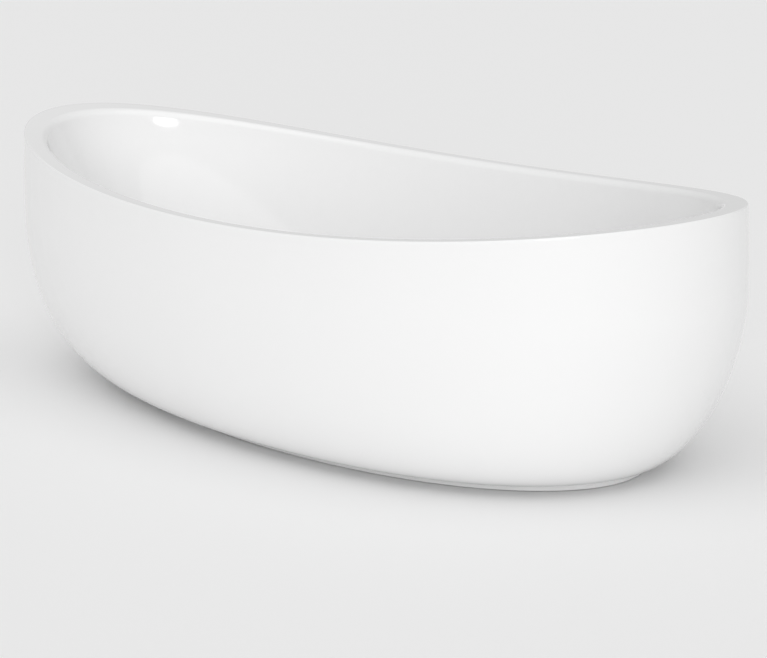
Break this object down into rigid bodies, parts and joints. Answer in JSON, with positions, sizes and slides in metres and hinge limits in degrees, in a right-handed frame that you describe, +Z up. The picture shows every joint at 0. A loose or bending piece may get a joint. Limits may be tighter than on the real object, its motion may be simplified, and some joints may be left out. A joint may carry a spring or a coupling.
{
  "type": "freestanding bathtub",
  "caption": "Egg-shaped double-walled freestanding bathtub with raised ends, set-back plinth, pop-up waste, overflow knob and levelling feet.",
  "frame": {"origin": "on the floor, in the middle of the length and the width", "axes": "+X towards the foot end, +Z up, the overflow is on the -Y side"},
  "size_m": [1.9007, 0.9501, 0.5644],
  "materials": {
    "basin_gloss": "polished white sanitary acrylic",
    "skirt_gloss": "polished white sanitary acrylic",
    "plinth_gloss": "white acrylic, a little greyer",
    "board": "chipboard sealed under thin resin",
    "frame_steel": "zinc-grey powder coat",
    "zinc_screw": "bright zinc plate",
    "zinc_steel": "bright zinc plate",
    "chrome_trim": "polished chrome plate",
    "brass_shaft": "turned brass",
    "seal_rubber": "soft moulded rubber",
    "pad_rubber": "moulded rubber",
    "waste_plastic": "moulded polypropylene",
    "nut_plastic": "moulded polypropylene",
    "hose_plastic": "extruded flexible polyethylene",
    "cable_sheath": "extruded cable jacket"
  },
  "bodies": {
    "tub": {"basin": "basin_gloss", "outer_skirt": "skirt_gloss", "plinth_ring": "plinth_gloss", "base_board": "board", "cross_member_head": "frame_steel", "cross_member_foot": "frame_steel", "rail_near": "frame_steel", "rail_far": "frame_steel", "board_screws": "zinc_screw", "bracket_screws": "zinc_screw", "foot_washers": "zinc_screw", "waste_flange": "chrome_trim", "overflow_rosette": "chrome_trim", "overflow_screws": "zinc_screw", "lever_pin": "zinc_screw", "waste_gasket_top": "seal_rubber", "waste_gasket_bottom": "seal_rubber", "overflow_gasket": "seal_rubber", "waste_body": "waste_plastic", "overflow_body": "waste_plastic", "trap_body": "waste_plastic", "trap_lid": "waste_plastic", "slip_nuts": "nut_plastic", "outlet_pipe": "waste_plastic", "overflow_hose": "hose_plastic", "pull_cable": "cable_sheath", "skirt_bracket_1": "frame_steel", "skirt_bracket_2": "frame_steel", "skirt_bracket_3": "frame_steel", "skirt_bracket_4": "frame_steel"},
    "knob": {"overflow_knob": "chrome_trim", "knob_shaft": "brass_shaft"},
    "stopper": {"stopper_cap": "chrome_trim", "stopper_seal": "seal_rubber", "stopper_stem": "brass_shaft"},
    "lift_lever": {"lift_lever": "nut_plastic"},
    "levelling_foot_1": {"foot_pad_1": "pad_rubber", "foot_stem_1": "zinc_steel"},
    "adjusting_nut_1": {"adjusting_nut_1": "zinc_steel"},
    "lock_nut_1": {"lock_nut_1": "zinc_steel"},
    "levelling_foot_2": {"foot_pad_2": "pad_rubber", "foot_stem_2": "zinc_steel"},
    "adjusting_nut_2": {"adjusting_nut_2": "zinc_steel"},
    "lock_nut_2": {"lock_nut_2": "zinc_steel"},
    "levelling_foot_3": {"foot_pad_3": "pad_rubber", "foot_stem_3": "zinc_steel"},
    "adjusting_nut_3": {"adjusting_nut_3": "zinc_steel"},
    "lock_nut_3": {"lock_nut_3": "zinc_steel"},
    "levelling_foot_4": {"foot_pad_4": "pad_rubber", "foot_stem_4": "zinc_steel"},
    "adjusting_nut_4": {"adjusting_nut_4": "zinc_steel"},
    "lock_nut_4": {"lock_nut_4": "zinc_steel"}
  },
  "joints": [
    {"name": "knob_turn", "type": "hinge", "parent": "tub", "child": "knob", "pos_m": [0.125, -0.41859, 0.395], "axis": [0, 0.9664, 0.2569], "range_deg": [0, 120]},
    {"name": "stopper_lift", "type": "slide", "parent": "tub", "child": "stopper", "axis": [0, 0, 1], "range_m": [0, 0.0121]},
    {"name": "lever_swing", "type": "hinge", "parent": "tub", "child": "lift_lever", "pos_m": [0.125, -0.021, 0.0665], "axis": [1, 0, 0], "range_deg": [0, 31.7]},
    {"name": "levelling_foot_1_travel", "type": "slide", "parent": "tub", "child": "levelling_foot_1", "axis": [0, 0, -1], "range_m": [-0.004, 0.012]},
    {"name": "adjusting_nut_1_turn", "type": "hinge", "parent": "tub", "child": "adjusting_nut_1", "pos_m": [-0.295, -0.185, 0.048], "axis": [0, 0, 1], "range_deg": [-824, 2470]},
    {"name": "lock_nut_1_turn", "type": "hinge", "parent": "tub", "child": "lock_nut_1", "pos_m": [-0.295, -0.185, 0.06], "axis": [0, 0, 1], "range_deg": [-824, 2470]},
    {"name": "levelling_foot_2_travel", "type": "slide", "parent": "tub", "child": "levelling_foot_2", "axis": [0, 0, -1], "range_m": [-0.004, 0.012]},
    {"name": "adjusting_nut_2_turn", "type": "hinge", "parent": "tub", "child": "adjusting_nut_2", "pos_m": [-0.295, 0.185, 0.048], "axis": [0, 0, 1], "range_deg": [-824, 2470]},
    {"name": "lock_nut_2_turn", "type": "hinge", "parent": "tub", "child": "lock_nut_2", "pos_m": [-0.295, 0.185, 0.06], "axis": [0, 0, 1], "range_deg": [-824, 2470]},
    {"name": "levelling_foot_3_travel", "type": "slide", "parent": "tub", "child": "levelling_foot_3", "axis": [0, 0, -1], "range_m": [-0.004, 0.012]},
    {"name": "adjusting_nut_3_turn", "type": "hinge", "parent": "tub", "child": "adjusting_nut_3", "pos_m": [0.545, -0.185, 0.048], "axis": [0, 0, 1], "range_deg": [-824, 2470]},
    {"name": "lock_nut_3_turn", "type": "hinge", "parent": "tub", "child": "lock_nut_3", "pos_m": [0.545, -0.185, 0.06], "axis": [0, 0, 1], "range_deg": [-824, 2470]},
    {"name": "levelling_foot_4_travel", "type": "slide", "parent": "tub", "child": "levelling_foot_4", "axis": [0, 0, -1], "range_m": [-0.004, 0.012]},
    {"name": "adjusting_nut_4_turn", "type": "hinge", "parent": "tub", "child": "adjusting_nut_4", "pos_m": [0.545, 0.185, 0.048], "axis": [0, 0, 1], "range_deg": [-824, 2470]},
    {"name": "lock_nut_4_turn", "type": "hinge", "parent": "tub", "child": "lock_nut_4", "pos_m": [0.545, 0.185, 0.06], "axis": [0, 0, 1], "range_deg": [-824, 2470]}
  ],
  "couplings": [
    {"joint": "stopper_lift", "follows": "knob_turn", "m_per_rad": 0.0057296},
    {"joint": "lever_swing", "follows": "knob_turn", "ratio": 0.26333},
    {"joint": "adjusting_nut_1_turn", "follows": "levelling_foot_1_travel", "rad_per_m": 3590.4},
    {"joint": "lock_nut_1_turn", "follows": "levelling_foot_1_travel", "rad_per_m": 3590.4},
    {"joint": "adjusting_nut_2_turn", "follows": "levelling_foot_2_travel", "rad_per_m": 3590.4},
    {"joint": "lock_nut_2_turn", "follows": "levelling_foot_2_travel", "rad_per_m": 3590.4},
    {"joint": "adjusting_nut_3_turn", "follows": "levelling_foot_3_travel", "rad_per_m": 3590.4},
    {"joint": "lock_nut_3_turn", "follows": "levelling_foot_3_travel", "rad_per_m": 3590.4},
    {"joint": "adjusting_nut_4_turn", "follows": "levelling_foot_4_travel", "rad_per_m": 3590.4},
    {"joint": "lock_nut_4_turn", "follows": "levelling_foot_4_travel", "rad_per_m": 3590.4}
  ]
}
